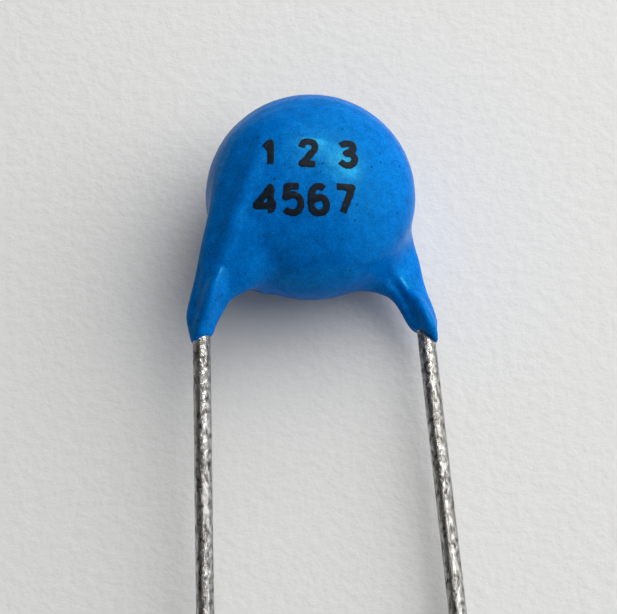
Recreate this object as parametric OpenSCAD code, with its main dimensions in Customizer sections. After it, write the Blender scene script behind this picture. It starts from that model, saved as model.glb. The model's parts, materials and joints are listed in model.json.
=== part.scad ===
// Ceramic disc capacitor with two wire leads, lying on its back on a flat
// surface with the leads towards -Y. Sizes are in millimetres.
//
// It is modelled in the disc's own frame: the disc's axis is Z, its front faces
// +Z and the leads run to -Y. place() then tips it onto its two lead tips and
// the belly of the coat, which is how it comes to rest.

/* [Ceramic disc] */
// Diameter of the ceramic disc
ceramic_d = 5.8; // [5:0.1:8]
// Thickness of the ceramic disc
ceramic_t = 2.4; // [1.8:0.1:3.6]
// Bevel round both edges of the ceramic disc
ceramic_bevel = 0.12; // [0.05:0.01:0.2]

/* [Electrodes] */
// Bare rim of ceramic left round each electrode
electrode_margin = 0.3; // [0.2:0.05:0.6]
// Thickness of each fired silver electrode
electrode_t = 0.05; // [0.03:0.01:0.08]

/* [Leads] */
// Diameter of the tinned wire
lead_d = 0.65; // [0.5:0.05:0.8]
// Distance between the leads at their knees, inside the legs of the coat
lead_pitch = 8.2; // [7:0.1:10]
// Length of the front lead outside the coat; the back one is cut level with it
lead_l = 25; // [10:1:30]
// Distance in thickness between the front lead and the back lead at the knees
lead_step = 1.5; // [0.6:0.1:2]
// Outward splay of the front lead, in degrees
front_splay = 0.1; // [0:0.1:8]
// Outward splay of the back lead, in degrees
back_splay = 4; // [0:0.1:8]
// Radius of the wire's bends, at its middle
bend_r = 1; // [0.8:0.1:1.2]
// Where a lead ends on its electrode: sideways from the disc's centre
foot_x = 1.2; // [0.6:0.05:1.4]
// Where a lead ends on its electrode: upwards from the disc's centre
foot_y = 1.35; // [0.6:0.05:1.5]

/* [Solder] */
// Film of solder between a wire and its electrode
solder_film = 0.03; // [0.02:0.01:0.06]
// Skin of solder over the top of the wire
solder_skin = 0.06; // [0.04:0.01:0.12]
// How far the solder flares out beside the wire, on the electrode
solder_flare = 0.55; // [0.4:0.05:0.7]
// How far the solder runs past the foot of the wire
solder_past = 0.15; // [0.05:0.05:0.3]

/* [Coat] */
// Thickness of the coat round the ceramic disc's edge
coat_edge = 1; // [0.7:0.05:1.4]
// Thickness of the coat over the wires on each face
coat_face = 0.77; // [0.6:0.01:1.2]
// Fullness of the disc's rounded edge: 2 is an ellipse, more is squarer
coat_fullness = 2.3; // [2.1:0.1:3.5]
// How far the coat runs down the front lead, from the edge of the disc
front_leg_run = 1.8; // [1.2:0.05:3]
// How far the coat runs down the back lead
back_leg_run = 1.3; // [1.2:0.05:3]
// How far below the edge of the disc a wire's knee lies
knee_drop = 0.9; // [0.6:0.05:1]
// Half width of a leg of the coat at its root
leg_root = 1.18; // [1:0.01:1.4]
// How far the coat leans in towards the other leg, halfway up a leg
leg_web = 0.1; // [0:0.01:0.2]
// Coat left on the wire at the very end of a leg
leg_skin = 0.05; // [0.04:0.01:0.1]
// Coat over the wire at the root of a leg
leg_cover = 0.22; // [0.15:0.01:0.4]
// Radius of the rib that a wire raises in the coat, about the wire's middle
rib_r = 0.68; // [0.5:0.01:0.8]
// Reach of the smooth blend between a rib and the rest of the coat
rib_blend = 0.3; // [0.2:0.05:0.6]
// Slant of a leg's end, in degrees, longer on the outer side
leg_slant = 22; // [0:1:30]
// Reach of the smooth blend between the disc and the legs
blend = 1.4; // [0.8:0.05:1.6]

/* [Hidden] */

FRONT = 1;
BACK = -1;

lead_r = lead_d / 2;
ceramic_r = ceramic_d / 2;
electrode_r = ceramic_r - electrode_margin;
face_z = ceramic_t / 2 + electrode_t;       // outer face of an electrode
wire_z = face_z + solder_film + lead_r;     // wire's axis where it crosses its electrode
coat_r = ceramic_r + coat_edge;             // radius of the coated disc
coat_z = face_z + solder_film + lead_d + coat_face; // half its thickness
leg_end_r = lead_r + leg_skin;
solder_top = solder_film + lead_d + solder_skin;
foot = [foot_x, foot_y];
knee = [lead_pitch / 2, -(coat_r + knee_drop)];
// The solder's flare stops short of the electrode's edge where the wire runs near it.
solder_rim = 0.05;
wire_off = abs(cross(foot, knee - foot)) / norm(knee - foot);
solder_toe = min(lead_r + solder_flare, electrode_r - wire_off - solder_rim);

leg_round = bend_r / 3;    // reach of the blend where a leg follows a bend
bent_thinner = 0.0016;     // the bent stretch of a wire seats inside the straight one
bent_r = lead_r - bent_thinner;
bent_lap = 0.1;            // how far it runs into the straight one
bead_lip = 0.01;           // height of the solder's edge
bead_crest = 0.1;          // share of the solder's width that its crest is

disc_sides = 120;
wire_sides = 60;
tube_sides = 24;
bend_steps = 5;
bead_rings = 7;
bead_steps = 12;

// The wire leaves its electrode level and starts to bend once it is clear of the
// ceramic disc's edge: here, where its line crosses a circle round the disc.
edge_bend = on_circle(foot, knee, ceramic_r + lead_r);

// ---- small maths ----

function unit(v) = v / norm(v);
function clamp(x, lo, hi) = min(max(x, lo), hi);
function mix(a, b, t) = a + (b - a) * t;

// Smaller of a and b, rounded off over a reach of k.
function soft_min(a, b, k) =
    let (h = max(k - abs(a - b), 0) / k) min(a, b) - h * h * k / 4;

function soft_max(a, b, k) = -soft_min(-a, -b, k);

// Where the line from a, inside a circle of radius r about the origin, to b leaves it.
function on_circle(a, b, r) =
    let (d = b - a, qa = d * d, qb = a * d, qc = a * a - r * r)
    a + d * (-qb + sqrt(qb * qb - qa * qc)) / qa;

// ---- the wires' route, in the disc's frame ----

function splay(side) = side == FRONT ? front_splay : back_splay;

// The front lead leaves on the left and the back lead on the right, each turned
// about Y into the other.
function on_side(side, p) = [-side * p.x, p.y, side * p.z];

function leg_y(side) = -coat_r - (side == FRONT ? front_leg_run : back_leg_run);
tip_y = leg_y(FRONT) - lead_l * cos(front_splay);
function lead_run(side) = (knee.y - tip_y) / cos(splay(side));
function bare_run(side) = (leg_y(side) - tip_y) / cos(splay(side)) - leg_end_r * tan(leg_slant);

function lead_tip(side) =
    [knee.x + lead_run(side) * sin(splay(side)), tip_y, 0];

function lead_route(side) =
    [for (p = [[foot.x, foot.y, wire_z],
               [edge_bend.x, edge_bend.y, wire_z],
               [knee.x, knee.y, lead_step / 2],
               lead_tip(side)]) on_side(side, p)];

// ---- the coat's skin ----
// The coat is dipped, so its surface is a level set: a rounded disc and a tube
// round each wire, run together with a soft blend.

tiny = 1e-6;

function from_disc(p) =
    let (rho = norm([p.x, p.y]) / coat_r, zeta = abs(p.z) / coat_z,
         g = pow(pow(rho, coat_fullness) + pow(zeta, coat_fullness), 1 / coat_fullness))
    g < tiny ? -coat_z : norm(p) * (1 - 1 / g);

// A leg follows its wire: its axis at height y, rounded off at the wire's bends, and
// its half width and half thickness there. Each grows from the leg's end to its root
// in a curve, the quicker the higher its power.
wide_power = 1.4;
thick_power = 3;
web_power = 3;

function leg_up(side, y) = clamp((y - leg_y(side)) / (edge_bend.y - leg_y(side)), 0, 1);
function leg_x(side, y) =
    soft_min(mix(foot.x, knee.x, (foot.y - y) / (foot.y - knee.y)),
             knee.x + (knee.y - y) * tan(splay(side)), leg_round)
    - leg_web * pow(sin(180 * leg_up(side, y)), web_power);
function leg_z(y) =
    soft_max(soft_min(wire_z, mix(wire_z, lead_step / 2,
                                  (edge_bend.y - y) / (edge_bend.y - knee.y)), leg_round),
             lead_step / 2 * (y - tip_y) / (knee.y - tip_y), leg_round);
function leg_axis(side, y) = [leg_x(side, y), y, leg_z(y)];
function leg_grown(side, y, root, power) =
    mix(leg_end_r, root, 1 - pow(1 - leg_up(side, y), power));
function leg_wide(side, y) = leg_grown(side, y, leg_root, wide_power);
function leg_thick(side, y) = leg_grown(side, y, lead_r + leg_cover, thick_power);

function from_leg(side, p) =
    let (y = min(p.y, foot.y), o = p - leg_axis(side, y),
         thick = leg_thick(side, y), g = norm([o.x / leg_wide(side, y), o.y / thick, o.z / thick]))
    g < tiny ? -leg_end_r : norm(o) * (1 - 1 / g);

// A wire raises a rib in the coat, from its foot on the electrode to the leg, and the
// rib narrows to the leg at the wire's knee.
function from_line(p, a, b, r_a, r_b) =
    let (d = b - a, t = clamp((p - a) * d / (d * d), 0, 1))
    norm(p - a - d * t) - mix(r_a, r_b, t);
function from_rib(side, p) =
    soft_min(from_line(p, [foot.x, foot.y, wire_z], [edge_bend.x, edge_bend.y, wire_z],
                       rib_r, rib_r),
             from_line(p, [edge_bend.x, edge_bend.y, wire_z], [knee.x, knee.y, lead_step / 2],
                       rib_r, leg_thick(side, knee.y)), rib_blend);

// The skin in the frame of one side's leg; the other leg is that one turned over.
function from_skin(side, p) =
    let (turned = [-p.x, p.y, -p.z])
    soft_min(soft_min(from_disc(p), min(from_leg(side, p), from_leg(-side, turned)), blend),
             min(from_rib(side, p), from_rib(-side, turned)), rib_blend);

// Distance along a ray to the skin: steps out until outside, then halves in.
function skin_at(side, from, dir, near = 0, step = 0.2, halvings = 14) =
    from_skin(side, from + dir * (near + step)) < 0
        ? skin_at(side, from, dir, near + step, step, halvings)
        : halve(side, from, dir, near, near + step, halvings);
function halve(side, from, dir, near, far, rounds) =
    let (middle = (near + far) / 2)
    rounds == 0 ? middle
                : from_skin(side, from + dir * middle) < 0
                    ? halve(side, from, dir, middle, far, rounds - 1)
                    : halve(side, from, dir, near, middle, rounds - 1);

// The skin is meshed as one tube, from the end of one leg, out round the disc and
// into the end of the other. Each of its rings is a cone of rays that springs from a
// spine inside the coat. By s, from 0 at the disc's centre to 1 at the end of a leg:
// the spine's point, and the headings of the cone's outer and inner sides, in degrees
// and for the leg on the right. In the bend under a leg the cone leans towards the
// leg's end, so that its rays meet the rim below the leg squarely.
rings_a_side = 36;
ring_sides = 40;
reach = 2.5;          // crowds the spine's points towards the disc's centre
waist = 0.5;          // where the cone is narrowest
waist_heading = -84;
turn_power = 1.5;     // delays the inner side's turn towards the leg's end

function spine(side, s) =
    let (t = pow(s, reach), c = leg_axis(side, leg_y(side) * t), w = t < 0.5 ? sin(180 * t) : 1)
    [c.x * w, c.y, c.z * w];
function outer_heading(s) =
    s < waist ? mix(90, 0, s / waist) : mix(0, -leg_slant, (s - waist) / (1 - waist));
function inner_heading(s) =
    s < waist ? mix(-90, waist_heading, s / waist)
              : mix(waist_heading, -180 - leg_slant, pow((s - waist) / (1 - waist), turn_power));

function ring(side, s) =
    let (axis = (outer_heading(s) + inner_heading(s)) / 2,
         lean = (outer_heading(s) - inner_heading(s)) / 2,
         ahead = [cos(axis), sin(axis), 0], across = [-sin(axis), cos(axis), 0])
    [for (k = [0 : ring_sides - 1])
        let (a = 360 * k / ring_sides * side,
             dir = ahead * cos(lean) + (across * cos(a) + [0, 0, sin(a)]) * sin(lean),
             from = spine(side, s))
        on_side(side, from + dir * skin_at(side, from, dir))];

module dipped_skin() {
    rings = concat([for (i = [rings_a_side : -1 : 0]) ring(FRONT, i / rings_a_side)],
                   [for (i = [1 : rings_a_side]) ring(BACK, i / rings_a_side)]);
    last = (len(rings) - 1) * ring_sides;
    polyhedron(points = [for (r = rings) each r],
               faces = concat(
                   [[for (k = [0 : ring_sides - 1]) k]],
                   [for (i = [0 : len(rings) - 2], k = [0 : ring_sides - 1])
                       each patch(rings, i, k, (k + 1) % ring_sides)],
                   [[for (k = [ring_sides - 1 : -1 : 0]) last + k]]),
               convexity = 4);
}

// Four neighbouring points, split across their shorter diagonal.
function patch(rings, i, k, next) =
    let (a = i * ring_sides + k, b = i * ring_sides + next,
         c = a + ring_sides, d = b + ring_sides)
    norm(rings[i][k] - rings[i + 1][next]) < norm(rings[i][next] - rings[i + 1][k])
        ? [[a, c, d], [a, d, b]] : [[a, c, b], [b, c, d]];

// ---- placing ----

// The belly: how far below the disc's plane the back of the coat lies, at points
// [y, depth] round its middle. From these, how high the disc's centre stands over a
// flat surface when the disc is tipped, and the tip at which the leads touch down too.
belly_reach = 1.5;
belly_step = 0.25;
belly_points = [for (x = [-belly_reach : belly_step : belly_reach],
                     y = [-belly_reach : belly_step : belly_reach])
    [y, skin_at(BACK, [x, y, 0], [0, 0, 1])]];
function belly(tip) = max([for (b = belly_points) b[1] * cos(tip) - b[0] * sin(tip)]);
function settle(tip, rounds = 6) =
    rounds == 0 ? tip : settle(asin((belly(tip) - lead_r) / -tip_y), rounds - 1);
rest_tip = settle(0);

// How far out the front leg's coat reaches.
leg_heights = [leg_y(FRONT) : 0.1 : edge_bend.y];
leg_out = max([for (y = leg_heights) leg_x(FRONT, y) + leg_wide(FRONT, y)]);

module place() {
    left = min(-coat_r, -leg_out, -lead_tip(FRONT).x - lead_r);
    right = max(coat_r, lead_tip(BACK).x + lead_r);
    translate([-(left + right) / 2, -(coat_r + tip_y) / 2, belly(rest_tip)])
        rotate([rest_tip, 0, 0])
            children();
}

// ---- the solids, in the disc's frame ----

function into(route, i) = unit(route[i] - route[i - 1]);
function out_of(route, i) = unit(route[i + 1] - route[i]);
function turn(route, i) = acos(clamp(into(route, i) * out_of(route, i), -1, 1));
function trim(route, i) = bend_r * tan(turn(route, i) / 2);

// Points round a bend of the route, each with the wire's direction there.
function bend(route, i) =
    let (u = into(route, i), w = out_of(route, i), n = unit(w - u * (u * w)),
         centre = route[i] - u * trim(route, i) + n * bend_r)
    [for (s = [0 : bend_steps])
        let (a = turn(route, i) * s / bend_steps)
        [centre + (u * sin(a) - n * cos(a)) * bend_r, u * cos(a) + n * sin(a)]];

// A tube through points that each carry its direction there.
module tube(path, r) {
    rings = [for (p = path)
        let (u = unit(cross(p[1], [0, 0, 1])), v = cross(u, p[1]))
        [for (k = [0 : tube_sides - 1])
            let (a = 360 * k / tube_sides)
            p[0] + (u * cos(a) + v * sin(a)) * r]];
    last = (len(path) - 1) * tube_sides;
    polyhedron(points = [for (ring = rings) each ring],
               faces = concat(
                   [[for (k = [tube_sides - 1 : -1 : 0]) k]],
                   [for (i = [0 : len(path) - 2], k = [0 : tube_sides - 1])
                       let (a = i * tube_sides, next = (k + 1) % tube_sides)
                       each [[a + k, a + next, a + k + tube_sides],
                             [a + next, a + next + tube_sides, a + k + tube_sides]]],
                   [[for (k = [0 : tube_sides - 1]) last + k]]));
}

// The bare length of a lead is a true cylinder. It starts where the last of the coat
// ends, and the rest, which is bent, is drawn a hair thinner and runs a little way
// into it.
module wire(side) {
    route = lead_route(side);
    last = len(route) - 1;
    down = out_of(route, last - 1);
    bare = route[last] - down * bare_run(side);
    tube(concat([[route[0], out_of(route, 0)]], bend(route, 1), bend(route, 2),
                [[bare + down * bent_lap, down]]), bent_r);
    translate(bare)
        rotate([0, acos(down.z), atan2(down.y, down.x)])
            cylinder(h = bare_run(side), r = lead_r, $fn = wire_sides);
}

// The solder is a bead along the foot of a wire: rings round the wire's line that
// narrow as they rise from the electrode in a smooth flank to a flat crest. Its base
// lies at a height of its own, so that the space for it can be cut right through.
module solder_bead(side, base) {
    end = on_circle(foot, knee, electrode_r - solder_toe);
    u = unit(end - foot);
    start = foot - u * solder_past;
    heading = atan2(u.y, u.x);
    arcs = [for (half = [0, 1], k = [0 : bead_steps])
        let (a = heading - 90 + 180 * (half + k / bead_steps))
        [half == 0 ? end : start, [cos(a), sin(a)]]];
    n = len(arcs);
    levels = concat([[base, 1]],
                    [for (s = [0 : bead_rings])
                        let (w = mix(1, bead_crest, s / bead_rings))
                        [face_z + bead_lip + solder_top * (1 + cos(180 * w)) / 2, w]]);
    top = (len(levels) - 1) * n;
    mirror(side == FRONT ? [1, 0, 0] : [0, 0, 1])
        polyhedron(points = [for (level = levels, a = arcs)
                       let (p = a[0] + a[1] * solder_toe * level[1])
                       [p.x, p.y, level[0]]],
                   faces = concat(
                       [[for (k = [0 : n - 1]) k]],
                       [for (i = [0 : len(levels) - 2], k = [0 : n - 1])
                           let (a = i * n, next = (k + 1) % n)
                           each [[a + k, a + k + n, a + next],
                                 [a + next, a + k + n, a + next + n]]],
                       [[for (k = [n - 1 : -1 : 0]) top + k]]));
}

function mirrored(points) = [for (i = [len(points) - 1 : -1 : 0]) [points[i].x, -points[i].y]];

// The ceramic disc's half section, with its bevelled edges.
ceramic_edge = [[ceramic_r, ceramic_t / 2 - ceramic_bevel],
                [ceramic_r - ceramic_bevel, ceramic_t / 2]];

module ceramic_body() {
    rotate_extrude($fn = disc_sides)
        polygon(concat(ceramic_edge, [[0, ceramic_t / 2], [0, -ceramic_t / 2]],
                       mirrored(ceramic_edge)));
}
// The disc with both electrodes on, as one shape, to cut its space in the coat.
module plated_disc() {
    upper = concat(ceramic_edge, [[electrode_r, ceramic_t / 2], [electrode_r, face_z]]);
    rotate_extrude($fn = disc_sides)
        polygon(concat(upper, [[0, face_z], [0, -face_z]], mirrored(upper)));
}

// ---- the pieces ----

module epoxy_coat() {
    color("#0659a8")
        place()
            difference() {
                dipped_skin();
                plated_disc();
                for (side = [FRONT, BACK]) {
                    solder_bead(side, ceramic_t / 2);
                    wire(side);
                }
            }
}
module ceramic_disc() {
    color("#d9cfb4")
        place()
            ceramic_body();
}
module electrode(side) {
    color("#cfcbc2")
        place()
            translate([0, 0, side * (ceramic_t + electrode_t) / 2])
                cylinder(h = electrode_t, r = electrode_r, center = true, $fn = disc_sides);
}
module solder(side) {
    color("#a9abad")
        place()
            difference() {
                solder_bead(side, face_z);
                wire(side);
            }
}
module lead(side) {
    color("#8e8a86")
        place()
            wire(side);
}

epoxy_coat();
ceramic_disc();
electrode(FRONT);  // electrode_front
electrode(BACK);  // electrode_back
solder(FRONT);  // solder_front
solder(BACK);  // solder_back
lead(FRONT);  // lead_front
lead(BACK);  // lead_back
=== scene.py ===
import json
import math

import bmesh
import bpy
from mathutils import Matrix, Vector, noise
from mathutils.bvhtree import BVHTree


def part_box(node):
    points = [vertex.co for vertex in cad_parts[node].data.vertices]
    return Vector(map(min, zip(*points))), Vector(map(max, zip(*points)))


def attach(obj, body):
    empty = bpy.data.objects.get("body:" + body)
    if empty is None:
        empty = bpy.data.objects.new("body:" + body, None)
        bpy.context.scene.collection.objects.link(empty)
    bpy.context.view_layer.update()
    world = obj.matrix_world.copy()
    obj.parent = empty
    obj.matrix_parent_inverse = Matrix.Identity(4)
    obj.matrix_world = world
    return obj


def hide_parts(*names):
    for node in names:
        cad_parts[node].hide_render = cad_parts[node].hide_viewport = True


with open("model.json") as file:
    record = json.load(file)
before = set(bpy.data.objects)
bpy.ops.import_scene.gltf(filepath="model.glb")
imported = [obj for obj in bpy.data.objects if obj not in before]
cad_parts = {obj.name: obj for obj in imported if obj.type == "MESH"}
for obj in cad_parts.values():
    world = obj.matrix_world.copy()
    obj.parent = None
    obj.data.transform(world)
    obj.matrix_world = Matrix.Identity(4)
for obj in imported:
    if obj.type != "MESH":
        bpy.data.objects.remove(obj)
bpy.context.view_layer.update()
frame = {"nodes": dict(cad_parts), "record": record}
mm = 0.001
noise.seed_set(7)
print("frame loaded:", ", ".join(sorted(frame["nodes"])))


def middleOf(node):
    low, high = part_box(node)
    return (low + high) / 2


# The disc's own frame, in millimetres: X right, Y up from the leads, Z out of the front.
def findDiscFrame():
    normal = (middleOf("electrode_front") - middleOf("electrode_back")).normalized()
    right = Vector((1, 0, 0))
    up = normal.cross(right)
    turn = Matrix((right, up, normal)).transposed().to_4x4()
    return Matrix.Translation(middleOf("ceramic_disc")) @ turn @ Matrix.Scale(mm, 4)


discFrame = findDiscFrame()
toDisc = discFrame.inverted()


shot = {
    "elevation": 72.0,          # over the disc's face, degrees
    "turn": 1.4,                # the object's turn in the picture, degrees
    "distance": 110.0,          # mm
    "width": 22.94,             # mm across the picture at the disc
    "aim": (-0.074, -4.09),     # mm right of and above the disc's middle
    "near": 0.005,              # m, the nearest and farthest things it sees
    "far": 5.0,
}


def makeCamera(shot):
    lift = math.radians(shot["elevation"])
    away = Vector((0, -math.cos(lift), math.sin(lift)))
    up = Vector((0, math.sin(lift), math.cos(lift)))
    right = Vector((1, 0, 0))
    aim = right * shot["aim"][0] + up * shot["aim"][1]
    turn = Matrix.Rotation(math.radians(-shot["turn"]), 4, "Z")
    rows = Matrix((right, up, away)).transposed().to_4x4()
    place = Matrix.Translation(aim + away * shot["distance"]) @ rows
    camera = bpy.data.objects.new("camera", bpy.data.cameras.new("camera"))
    bpy.context.scene.collection.objects.link(camera)
    location, rotation, _ = (discFrame @ turn @ place).decompose()
    camera.matrix_world = Matrix.Translation(location) @ rotation.to_matrix().to_4x4()
    camera.data.sensor_fit = "HORIZONTAL"
    camera.data.angle = 2 * math.atan(shot["width"] / 2 / shot["distance"])
    camera.data.clip_start = shot["near"]
    camera.data.clip_end = shot["far"]
    bpy.context.scene.camera = camera


makeCamera(shot)
print("camera placed")


def newMaterial(name):
    material = bpy.data.materials.new(name)
    material.use_nodes = True
    nodes = material.node_tree.nodes
    return material, nodes, material.node_tree.links, nodes["Principled BSDF"]


# A setting is the node's own, or else the value of the input of that name.
def addNode(nodes, kind, **settings):
    node = nodes.new(kind)
    for name, value in settings.items():
        if hasattr(node, name):
            setattr(node, name, value)
        else:
            node.inputs[name].default_value = value
    return node


# Places on the piece in millimetres. A stretch under 1 draws the pattern out that way.
def patternCoords(nodes, links, stretch=(1, 1, 1)):
    coords = addNode(nodes, "ShaderNodeTexCoord")
    mapping = addNode(nodes, "ShaderNodeMapping")
    mapping.inputs["Scale"].default_value = [share / mm for share in stretch]
    links.new(coords.outputs["Object"], mapping.inputs["Vector"])
    return mapping.outputs["Vector"]


def addNoise(nodes, links, coords, scale, detail, roughness=0.5):
    texture = addNode(nodes, "ShaderNodeTexNoise", Scale=scale, Detail=detail,
                      Roughness=roughness)
    links.new(coords, texture.inputs["Vector"])
    return texture.outputs["Fac"]


def addRamp(nodes, links, source, stops):
    ramp = addNode(nodes, "ShaderNodeValToRGB")
    elements = ramp.color_ramp.elements
    while len(elements) < len(stops):
        elements.new(0.5)
    for element, (place, colour) in zip(elements, stops):
        element.position = place
        element.color = (*colour, 1)
    links.new(source, ramp.inputs["Fac"])
    return ramp.outputs["Color"]


# The depth is in millimetres.
def addBump(nodes, links, height, shader, strength, depth):
    bump = addNode(nodes, "ShaderNodeBump", Strength=strength, Distance=depth * mm)
    links.new(height, bump.inputs["Height"])
    links.new(bump.outputs["Normal"], shader.inputs["Normal"])


def grey(value):
    return (value, value, value)


def newPiece(name, mesh, material):
    piece = bpy.data.objects.new(name, mesh)
    bpy.context.scene.collection.objects.link(piece)
    mesh.materials.clear()
    mesh.materials.append(material)
    for face in mesh.polygons:
        face.use_smooth = True
    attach(piece, "root")
    return piece


mergeDistance = 0.0005          # mm


# A node's mesh in the disc's frame, with its loose triangles joined.
def mergedCopy(node):
    bm = bmesh.new()
    bm.from_mesh(frame["nodes"][node].data)
    bm.transform(toDisc)
    bmesh.ops.remove_doubles(bm, verts=bm.verts, dist=mergeDistance)
    return bm


def meshFrom(bm, name):
    mesh = bpy.data.meshes.new(name)
    bm.to_mesh(mesh)
    bm.free()
    return mesh


# The mesh that a mesh or curve becomes under one modifier.
def withModifier(data, kind, **settings):
    helper = bpy.data.objects.new("helper", data)
    bpy.context.scene.collection.objects.link(helper)
    modifier = helper.modifiers.new("step", kind)
    for name, value in settings.items():
        setattr(modifier, name, value)
    depsgraph = bpy.context.evaluated_depsgraph_get()
    result = bpy.data.meshes.new_from_object(helper.evaluated_get(depsgraph))
    bpy.data.objects.remove(helper)
    return result


def smoothOut(bm, passes):
    for _ in range(passes):
        bmesh.ops.smooth_vert(bm, verts=bm.verts, factor=0.5, use_axis_x=True,
                              use_axis_y=True, use_axis_z=True)


# 1 at 0, and smoothly down to 0 at 1.
def fade(t):
    t = min(max(t, 0), 1)
    return 1 - t * t * (3 - 2 * t)


# The bare wire's line below the coat, from the record's mounts.
def leadLine(mountName):
    mount = next(m for m in frame["record"]["mounts"] if m["name"] == mountName)
    axis = (toDisc.to_3x3() @ Vector(mount["axis"])).normalized()
    middle = toDisc @ Vector(mount["pos_m"])
    half = mount["dims"]["length_mm"] / 2
    return {"top": middle - axis * half, "axis": axis, "length": half * 2,
            "radius": mount["dims"]["r_mm"]}


leads = {"lead_front": leadLine("lead_front_pin"), "lead_back": leadLine("lead_back_pin")}


coat = {
    "voxel": 0.055,             # mm
    "sharp": 40,                # degrees, where the skin turns into a leg's end
    "swell": 0.012,             # mm, slow unevenness of the dipped film
    "swellSize": 1.1,
    "peel": 0.0035,             # mm, orange peel
    "peelSize": 0.28,
    "ragged": 0.10,             # mm, how unevenly the coat ends on the wire
    "raggedWaves": 1.6,         # how often that changes round the wire
    "raggedReach": 0.5,         # mm up and down a leg
    "legReach": 1.0,            # mm round a wire, within which the coat is its leg
    "smoothing": 8,             # passes
    "pulls": [                  # shaping: where, by how much, and how far it reaches
        {"at": (-2.40, -3.45), "by": (0.0, -0.32), "reach": 1.2},
        {"at": (2.70, -4.00), "by": (0.10, 0.17), "reach": 1.2},
        {"at": (-4.30, -5.45), "by": (0.0, -0.12), "reach": 0.5},
        {"at": (4.50, -5.35), "by": (0.0, -0.18), "reach": 0.5},
    ],
    "ridges": [                 # where the film stands up over the wires, or sinks beside them
        {"from": (-1.50, 1.80), "to": (-3.60, -3.60), "height": 0.13, "width": 0.50},
        {"from": (-3.25, -3.15), "to": (-4.25, -5.60), "height": 0.42, "width": 0.42},
        {"from": (3.66, -3.50), "to": (4.75, -6.30), "height": 0.34, "width": 0.36},
        {"from": (2.60, -2.60), "to": (4.15, -5.90), "height": -0.16, "width": 0.36},
        {"from": (-4.05, -0.80), "to": (-4.55, -6.00), "height": -0.16, "width": 0.36},
    ],
}


# The faces that the front's highest point is joined to without a sharp edge between.
def outerSkin(bm, sharp):
    start = max(bm.verts, key=lambda v: v.co.z).link_faces[0]
    skin = {start}
    waiting = [start]
    while waiting:
        for edge in waiting.pop().edges:
            if len(edge.link_faces) == 2 and edge.calc_face_angle() < math.radians(sharp):
                for face in edge.link_faces:
                    if face not in skin:
                        skin.add(face)
                        waiting.append(face)
    return skin


def ridgeHeight(ridge, place):
    start, end = Vector(ridge["from"]), Vector(ridge["to"])
    along = (place.xy - start).dot(end - start) / (end - start).length_squared
    if not 0 < along < 1:
        return 0
    aside = (place.xy - start.lerp(end, along)).length
    return ridge["height"] * math.sin(math.pi * along) * fade(aside / ridge["width"])


def shapeCoat(bm, coat):
    for vertex in bm.verts:
        place = vertex.co.copy()
        moved = place.copy()
        if vertex.normal.z > 0:
            rises = [ridgeHeight(ridge, place) for ridge in coat["ridges"]]
            moved += vertex.normal * (max(rises) + min(rises)) * vertex.normal.z
        for pull in coat["pulls"]:
            away = (place.xy - Vector(pull["at"])).length / pull["reach"]
            moved.xy += Vector(pull["by"]) * fade(away)
        slow = noise.noise(place / coat["swellSize"]) * coat["swell"]
        peel = noise.noise(place / coat["peelSize"]) * coat["peel"]
        moved += vertex.normal * (slow + peel)
        for line in leads.values():
            drop = (place - line["top"]).dot(line["axis"])
            side = place - line["top"] - line["axis"] * drop
            if side.length < coat["legReach"]:
                near = fade(abs(drop) / coat["raggedReach"])
                wobble = noise.noise(side.normalized() * coat["raggedWaves"] + line["top"])
                moved += line["axis"] * coat["ragged"] * wobble * near
        vertex.co = moved


# Makes the coat and returns its surface, for the ink to lie on.
def makeCoat(coat, material):
    bm = mergedCopy("epoxy_coat")
    skin = outerSkin(bm, coat["sharp"])
    inside = [face for face in bm.faces if face not in skin]
    bmesh.ops.delete(bm, geom=inside, context="FACES")
    bmesh.ops.holes_fill(bm, edges=[edge for edge in bm.edges if edge.is_boundary])
    bmesh.ops.triangulate(bm, faces=bm.faces)
    mesh = withModifier(meshFrom(bm, "coat"), "REMESH", mode="VOXEL", voxel_size=coat["voxel"])
    bm = bmesh.new()
    bm.from_mesh(mesh)
    smoothOut(bm, coat["smoothing"])
    bm.normal_update()
    shapeCoat(bm, coat)
    dome = BVHTree.FromBMesh(bm)
    bm.transform(discFrame)
    piece = newPiece("coat", meshFrom(bm, "coat"), material)
    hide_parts("epoxy_coat")
    return dome


epoxy = {
    "roughness": 0.2,
    "ior": 1.08,
    "tint": (1.9, 18.0, 19.0, 1),               # of the gloss
    "blues": [
        (0.30, (0.0, 0.107, 0.43)), (0.5, (0.0, 0.154, 0.58)), (0.72, (0.001, 0.205, 0.70))],
    "dust": [(0.38, grey(0.55)), (0.60, grey(1.0))],
    "dustShare": 0.8,
    "speckSize": [(0.08, grey(1)), (0.19, grey(0))],
    "speckShare": [(0.55, grey(0)), (0.75, grey(1))],
    "speckColour": (0.0, 0.02, 0.09, 1),
}


# Small dark specks: a dot at the middle of some of the cells.
def addSpecks(nodes, links, coords, epoxy):
    cells = addNode(nodes, "ShaderNodeTexVoronoi", Scale=3.4, Randomness=1.0)
    links.new(coords, cells.inputs["Vector"])
    dots = addRamp(nodes, links, cells.outputs["Distance"], epoxy["speckSize"])
    chosen = addRamp(nodes, links, cells.outputs["Color"], epoxy["speckShare"])
    shown = addNode(nodes, "ShaderNodeMath", operation="MULTIPLY")
    links.new(dots, shown.inputs[0])
    links.new(chosen, shown.inputs[1])
    return shown.outputs["Value"]


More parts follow.
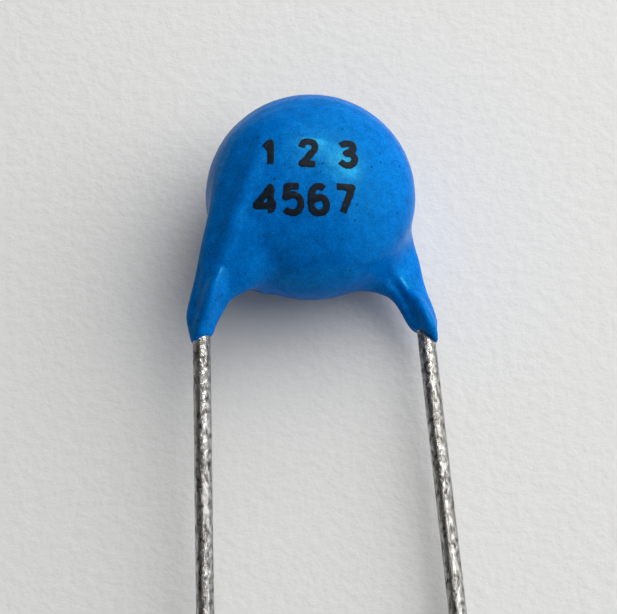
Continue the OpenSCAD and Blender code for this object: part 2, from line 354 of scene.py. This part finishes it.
def epoxyMaterial(epoxy):
    material, nodes, links, shader = newMaterial("epoxy")
    shader.inputs["Roughness"].default_value = epoxy["roughness"]
    shader.inputs["IOR"].default_value = epoxy["ior"]
    shader.inputs["Specular Tint"].default_value = epoxy["tint"]
    coords = patternCoords(nodes, links)
    mottle = addNoise(nodes, links, coords, scale=2.2, detail=8.0, roughness=0.75)
    grain = addNoise(nodes, links, coords, scale=13.0, detail=5.0, roughness=0.7)
    dusty = addNode(nodes, "ShaderNodeMix", data_type="RGBA", blend_type="MULTIPLY")
    dusty.inputs["Factor"].default_value = epoxy["dustShare"]
    links.new(addRamp(nodes, links, mottle, epoxy["blues"]), dusty.inputs["A"])
    links.new(addRamp(nodes, links, grain, epoxy["dust"]), dusty.inputs["B"])
    specked = addNode(nodes, "ShaderNodeMix", data_type="RGBA")
    specked.inputs["B"].default_value = epoxy["speckColour"]
    links.new(addSpecks(nodes, links, coords, epoxy), specked.inputs["Factor"])
    links.new(dusty.outputs["Result"], specked.inputs["A"])
    links.new(specked.outputs["Result"], shader.inputs["Base Color"])
    addBump(nodes, links, grain, shader, strength=0.22, depth=0.02)
    return material


dome = makeCoat(coat, epoxyMaterial(epoxy))
print("coat made")


# Two stamped rows of plain numbers.
ink = {
    "rows": [
        {"text": "123", "middle": (-0.06, 0.72), "height": 0.86, "pitch": 1.41, "turn": -1.0},
        {"text": "4567", "middle": (-0.2, -1.04), "height": 0.94, "pitch": 0.94, "turn": -1.0},
    ],
    "stroke": 0.27,             # mm wide
    "strokeSides": 3,           # steps in each quarter of a stroke's round section
    "film": 0.03,               # mm thick in the middle of a stroke
    "voxel": 0.02,              # mm
    "smoothing": 8,             # passes
    "blot": 0.026,              # mm, unevenness of the outline
    "blotSize": 0.2,
    "sunk": 0.006,              # mm of the film inside the coat
    "above": 10.0,              # mm over the disc, from where the stamp comes down
    "blacks": [
        (0.35, (0.003, 0.006, 0.012)), (0.58, (0.005, 0.012, 0.022)), (0.78, (0.006, 0.04, 0.09))],
}

# The points that pull each stroke's middle line, one digit high and centred.
# A point given twice makes a corner.
digits = {
    "1": [(-0.24, 0.26), (0.04, 0.5), (0.04, 0.5), (0.04, -0.5)],
    "2": [(-0.29, 0.24), (-0.24, 0.48), (0, 0.54), (0.24, 0.48), (0.30, 0.2), (0.12, -0.04),
          (-0.3, -0.5), (-0.3, -0.5), (0.3, -0.5)],
    "3": [(-0.28, 0.38), (-0.08, 0.54), (0.24, 0.48), (0.28, 0.16), (-0.06, 0.03), (-0.06, 0.03),
          (0.24, 0.02), (0.36, -0.26), (0.2, -0.52), (-0.1, -0.54), (-0.3, -0.36)],
    "4": [(0.16, -0.5), (0.16, 0.5), (0.16, 0.5), (-0.42, -0.24), (-0.42, -0.24), (0.36, -0.24)],
    "5": [(0.26, 0.5), (-0.22, 0.5), (-0.22, 0.5), (-0.26, 0.06), (-0.26, 0.06), (0.02, 0.2),
          (0.28, 0.06), (0.34, -0.24), (0.2, -0.5), (-0.1, -0.54), (-0.3, -0.38)],
    "6": [(0.23, 0.4), (0.06, 0.54), (-0.2, 0.46), (-0.3, 0.05), (-0.3, -0.28), (-0.18, -0.52),
          (0.06, -0.55), (0.27, -0.46), (0.33, -0.2), (0.21, 0.03), (0.0, 0.09), (-0.22, -0.06)],
    "7": [(-0.3, 0.5), (0.31, 0.5), (0.31, 0.5), (-0.06, -0.5)],
}


# The row's strokes as round tubes, on the flat.
def strokeCurve(row, ink):
    curve = bpy.data.curves.new("row", "CURVE")
    curve.dimensions = "3D"
    curve.bevel_depth = ink["stroke"] / 2
    curve.bevel_resolution = ink["strokeSides"]
    curve.use_fill_caps = True
    first = -(len(row["text"]) - 1) / 2
    for number, digit in enumerate(row["text"]):
        spline = curve.splines.new("NURBS")
        spline.points.add(len(digits[digit]) - 1)
        spline.order_u = 3
        spline.use_endpoint_u = True
        for point, (x, y) in zip(spline.points, digits[digit]):
            across = (first + number) * row["pitch"] + x * row["height"]
            point.co = (across, y * row["height"], 0, 1)
    return curve


# The tubes joined, pressed flat and laid on the coat.
def stampRow(row, ink):
    tubes = withModifier(strokeCurve(row, ink), "REMESH", mode="VOXEL", voxel_size=ink["voxel"])
    bm = bmesh.new()
    bm.from_mesh(tubes)
    smoothOut(bm, ink["smoothing"])
    bmesh.ops.scale(bm, verts=bm.verts, vec=(1, 1, ink["film"] / ink["stroke"]))
    turn = Matrix.Rotation(math.radians(row["turn"]), 3, "Z")
    bmesh.ops.rotate(bm, verts=bm.verts, matrix=turn)
    bmesh.ops.translate(bm, verts=bm.verts, vec=(*row["middle"], 0))
    for vertex in bm.verts:
        blot = noise.noise_vector(vertex.co / ink["blotSize"]) * ink["blot"]
        place = vertex.co + Vector((blot.x, blot.y, 0))
        start = Vector((place.x, place.y, ink["above"]))
        hit = dome.ray_cast(start, Vector((0, 0, -1)))[0]
        place.z += hit.z + ink["film"] / 2 - ink["sunk"]
        vertex.co = place
    return bm


def inkMaterial(blacks):
    material, nodes, links, shader = newMaterial("ink")
    shader.inputs["Roughness"].default_value = 0.5
    shader.inputs["IOR"].default_value = 1.2
    coords = patternCoords(nodes, links)
    blotch = addNoise(nodes, links, coords, scale=7.0, detail=4.0, roughness=0.65)
    links.new(addRamp(nodes, links, blotch, blacks), shader.inputs["Base Color"])
    return material


def makeInk(ink, material):
    for number, row in enumerate(ink["rows"], 1):
        bm = stampRow(row, ink)
        bm.transform(discFrame)
        newPiece("ink_row_%d" % number, meshFrom(bm, "ink"), material)


makeInk(ink, inkMaterial(ink["blacks"]))
print("ink stamped")


wire = {
    "rings": 200,               # along the bare stretch, before it is subdivided
    "cover": 0.55,              # mm above the bare stretch, inside the leg
    "cutTolerance": 0.0001,     # mm
    "dents": 0.003,             # mm
    "dentSize": (0.22, 0.6),    # mm round and along the wire
    "grain": 0.002,             # mm
    "grainSize": 0.09,
    "flat": 0.6,                # share of the radius within which the cut end stays flat
}


# The wire's bends are kept, and its bare stretch is drawn anew in even rings.
def drawBareStretch(bm, line, wire):
    top = line["top"] - line["axis"] * wire["cover"]
    bmesh.ops.bisect_plane(bm, geom=bm.verts[:] + bm.edges[:] + bm.faces[:],
                           dist=wire["cutTolerance"], plane_co=top, plane_no=line["axis"],
                           clear_outer=True)
    rim = [edge for edge in bm.edges if edge.is_boundary]
    bare = bmesh.ops.extrude_edge_only(bm, edges=rim)["geom"]
    tip = [item for item in bare if isinstance(item, bmesh.types.BMVert)]
    length = line["length"] + wire["cover"]
    bmesh.ops.translate(bm, verts=tip, vec=line["axis"] * length)
    along = [edge for edge in bm.edges if (edge.verts[0] in tip) != (edge.verts[1] in tip)]
    bmesh.ops.subdivide_edges(bm, edges=along, cuts=wire["rings"])
    bmesh.ops.holes_fill(bm, edges=[edge for edge in bm.edges if edge.is_boundary])
    bmesh.ops.recalc_face_normals(bm, faces=bm.faces)


def makeWire(node, line, wire, material):
    bm = mergedCopy(node)
    drawBareStretch(bm, line, wire)
    mesh = withModifier(meshFrom(bm, node), "SUBSURF", levels=1)
    for vertex in mesh.vertices:
        down = (vertex.co - line["top"]).dot(line["axis"])
        side = vertex.co - line["top"] - line["axis"] * down
        if down < -wire["cover"] or side.length < wire["flat"] * line["radius"]:
            continue
        around, along = wire["dentSize"]
        dent = noise.noise(side / around + line["axis"] * down / along)
        grain = noise.noise(vertex.co / wire["grainSize"])
        radius = line["radius"] + dent * wire["dents"] + grain * wire["grain"]
        vertex.co = line["top"] + line["axis"] * down + side.normalized() * radius
    mesh.transform(discFrame)
    piece = newPiece(node.replace("lead", "wire"), mesh, material)
    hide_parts(node)


tinning = {
    "stretch": (1, 0.45, 1),                    # streaks run along the wire
    "greys": [
        (0.40, (0.03, 0.026, 0.023)), (0.49, (0.38, 0.36, 0.335)), (0.62, (0.74, 0.73, 0.70))],
    "roughness": [(0.3, grey(0.34)), (0.7, grey(0.18))],
}


def tinMaterial(tinning):
    material, nodes, links, shader = newMaterial("tinned wire")
    shader.inputs["Metallic"].default_value = 1.0
    coords = patternCoords(nodes, links, tinning["stretch"])
    mottle = addNoise(nodes, links, coords, scale=8.0, detail=8.0, roughness=0.75)
    links.new(addRamp(nodes, links, mottle, tinning["greys"]), shader.inputs["Base Color"])
    links.new(addRamp(nodes, links, mottle, tinning["roughness"]), shader.inputs["Roughness"])
    addBump(nodes, links, mottle, shader, strength=1.0, depth=0.03)
    return material


tin = tinMaterial(tinning)
for node, line in leads.items():
    makeWire(node, line, wire, tin)
print("wires made")


# The inner pieces keep their shape and only get a finish.
inner = {
    "ceramic": [(0.35, (0.50, 0.42, 0.29)), (0.65, (0.68, 0.60, 0.45))],
    "silver": [(0.35, (0.62, 0.60, 0.54)), (0.65, (0.80, 0.78, 0.72))],
    "solder": [(0.35, (0.40, 0.41, 0.43)), (0.65, (0.62, 0.63, 0.65))],
}


def ceramicMaterial(colours):
    material, nodes, links, shader = newMaterial("fired ceramic")
    shader.inputs["Roughness"].default_value = 0.75
    grain = addNoise(nodes, links, patternCoords(nodes, links), scale=12.0, detail=4.0)
    links.new(addRamp(nodes, links, grain, colours), shader.inputs["Base Color"])
    return material


def metalMaterial(name, colours, scale):
    material, nodes, links, shader = newMaterial(name)
    shader.inputs["Metallic"].default_value = 1.0
    shader.inputs["Roughness"].default_value = 0.45
    grain = addNoise(nodes, links, patternCoords(nodes, links), scale=scale, detail=4.0)
    links.new(addRamp(nodes, links, grain, colours), shader.inputs["Base Color"])
    addBump(nodes, links, grain, shader, strength=0.4, depth=0.01)
    return material


def finishNode(node, material):
    for slot in frame["nodes"][node].material_slots:
        slot.material = material


finishNode("ceramic_disc", ceramicMaterial(inner["ceramic"]))
silver = metalMaterial("fired silver", inner["silver"], scale=14.0)
solder = metalMaterial("solder", inner["solder"], scale=4.0)
for side in ("front", "back"):
    finishNode("electrode_" + side, silver)
    finishNode("solder_" + side, solder)
print("inner pieces finished")


floor = {"size": 1.2, "colour": (0.70, 0.70, 0.695, 1)}       # m across


def makeFloor(floor):
    bm = bmesh.new()
    bmesh.ops.create_grid(bm, x_segments=1, y_segments=1, size=floor["size"] / 2)
    mesh = meshFrom(bm, "floor")
    material, nodes, links, shader = newMaterial("paper")
    shader.inputs["Roughness"].default_value = 0.7
    shader.inputs["Base Color"].default_value = floor["colour"]
    coords = patternCoords(nodes, links)
    fibre = addNoise(nodes, links, coords, scale=2.2, detail=6.0, roughness=0.6)
    addBump(nodes, links, fibre, shader, strength=0.7, depth=0.06)
    mesh.materials.append(material)
    piece = bpy.data.objects.new("floor", mesh)
    bpy.context.scene.collection.objects.link(piece)


light = {
    "lamps": [                  # distance and size in m, power in W
        {"name": "window", "direction": (0.34, 0.37, 0.87), "distance": 0.35,
         "size": (0.12, 0.032), "power": 0.38, "colour": (1.0, 0.97, 0.93), "shows": "gloss"},
        {"name": "side", "direction": (0.34, 0.44, 0.83), "distance": 0.35,
         "size": (0.22, 0.20), "power": 0.14, "colour": (1.0, 0.98, 0.95), "shows": "gloss"},
        {"name": "softbox", "direction": (0.64, 0.43, 0.64), "distance": 0.17,
         "size": (0.28, 0.28), "power": 0.55, "colour": (1.0, 0.965, 0.92), "shows": "shade"},
        {"name": "fill", "direction": (-0.10, -0.75, 0.65), "distance": 0.3,
         "size": (0.3, 0.3), "power": 0.09, "colour": (1.0, 0.98, 0.96), "shows": "shade"},
    ],
    "towards": (0.93, 0.36, 0.0),       # the bright side of the room
    "room": [                           # from the far side of the room to the bright side
        (0.08, (0.09, 0.095, 0.10)), (0.40, (0.03, 0.033, 0.037)), (0.58, (0.12, 0.135, 0.15)),
        (0.74, (0.88, 0.94, 0.98))],
}


# A lamp is seen in the gloss alone, or lights the shade alone.
def addLamp(lamp):
    data = bpy.data.lights.new(lamp["name"], "AREA")
    data.shape = "RECTANGLE"
    data.size, data.size_y = lamp["size"]
    data.energy = lamp["power"]
    data.color = lamp["colour"]
    stand = bpy.data.objects.new(lamp["name"], data)
    bpy.context.scene.collection.objects.link(stand)
    away = Vector(lamp["direction"]).normalized()
    stand.location = discFrame.translation + away * lamp["distance"]
    stand.rotation_euler = away.to_track_quat("Z", "Y").to_euler()
    stand.visible_diffuse = lamp["shows"] == "shade"
    stand.visible_glossy = lamp["shows"] == "gloss"


# The room's light depends on how far a direction leans towards its bright side.
def makeWorld(light):
    world = bpy.data.worlds.new("studio")
    world.use_nodes = True
    nodes, links = world.node_tree.nodes, world.node_tree.links
    coords = addNode(nodes, "ShaderNodeTexCoord")
    across = addNode(nodes, "ShaderNodeVectorMath", operation="DOT_PRODUCT")
    across.inputs[1].default_value = light["towards"]
    links.new(coords.outputs["Generated"], across.inputs[0])
    share = addNode(nodes, "ShaderNodeMapRange")
    share.inputs["From Min"].default_value = -1         # straight away from that side
    links.new(across.outputs["Value"], share.inputs["Value"])
    room = addRamp(nodes, links, share.outputs["Result"], light["room"])
    links.new(room, nodes["Background"].inputs["Color"])
    bpy.context.scene.world = world


makeFloor(floor)
for lamp in light["lamps"]:
    addLamp(lamp)
makeWorld(light)
bpy.context.scene.view_settings.view_transform = "Standard"
print("floor and light made")
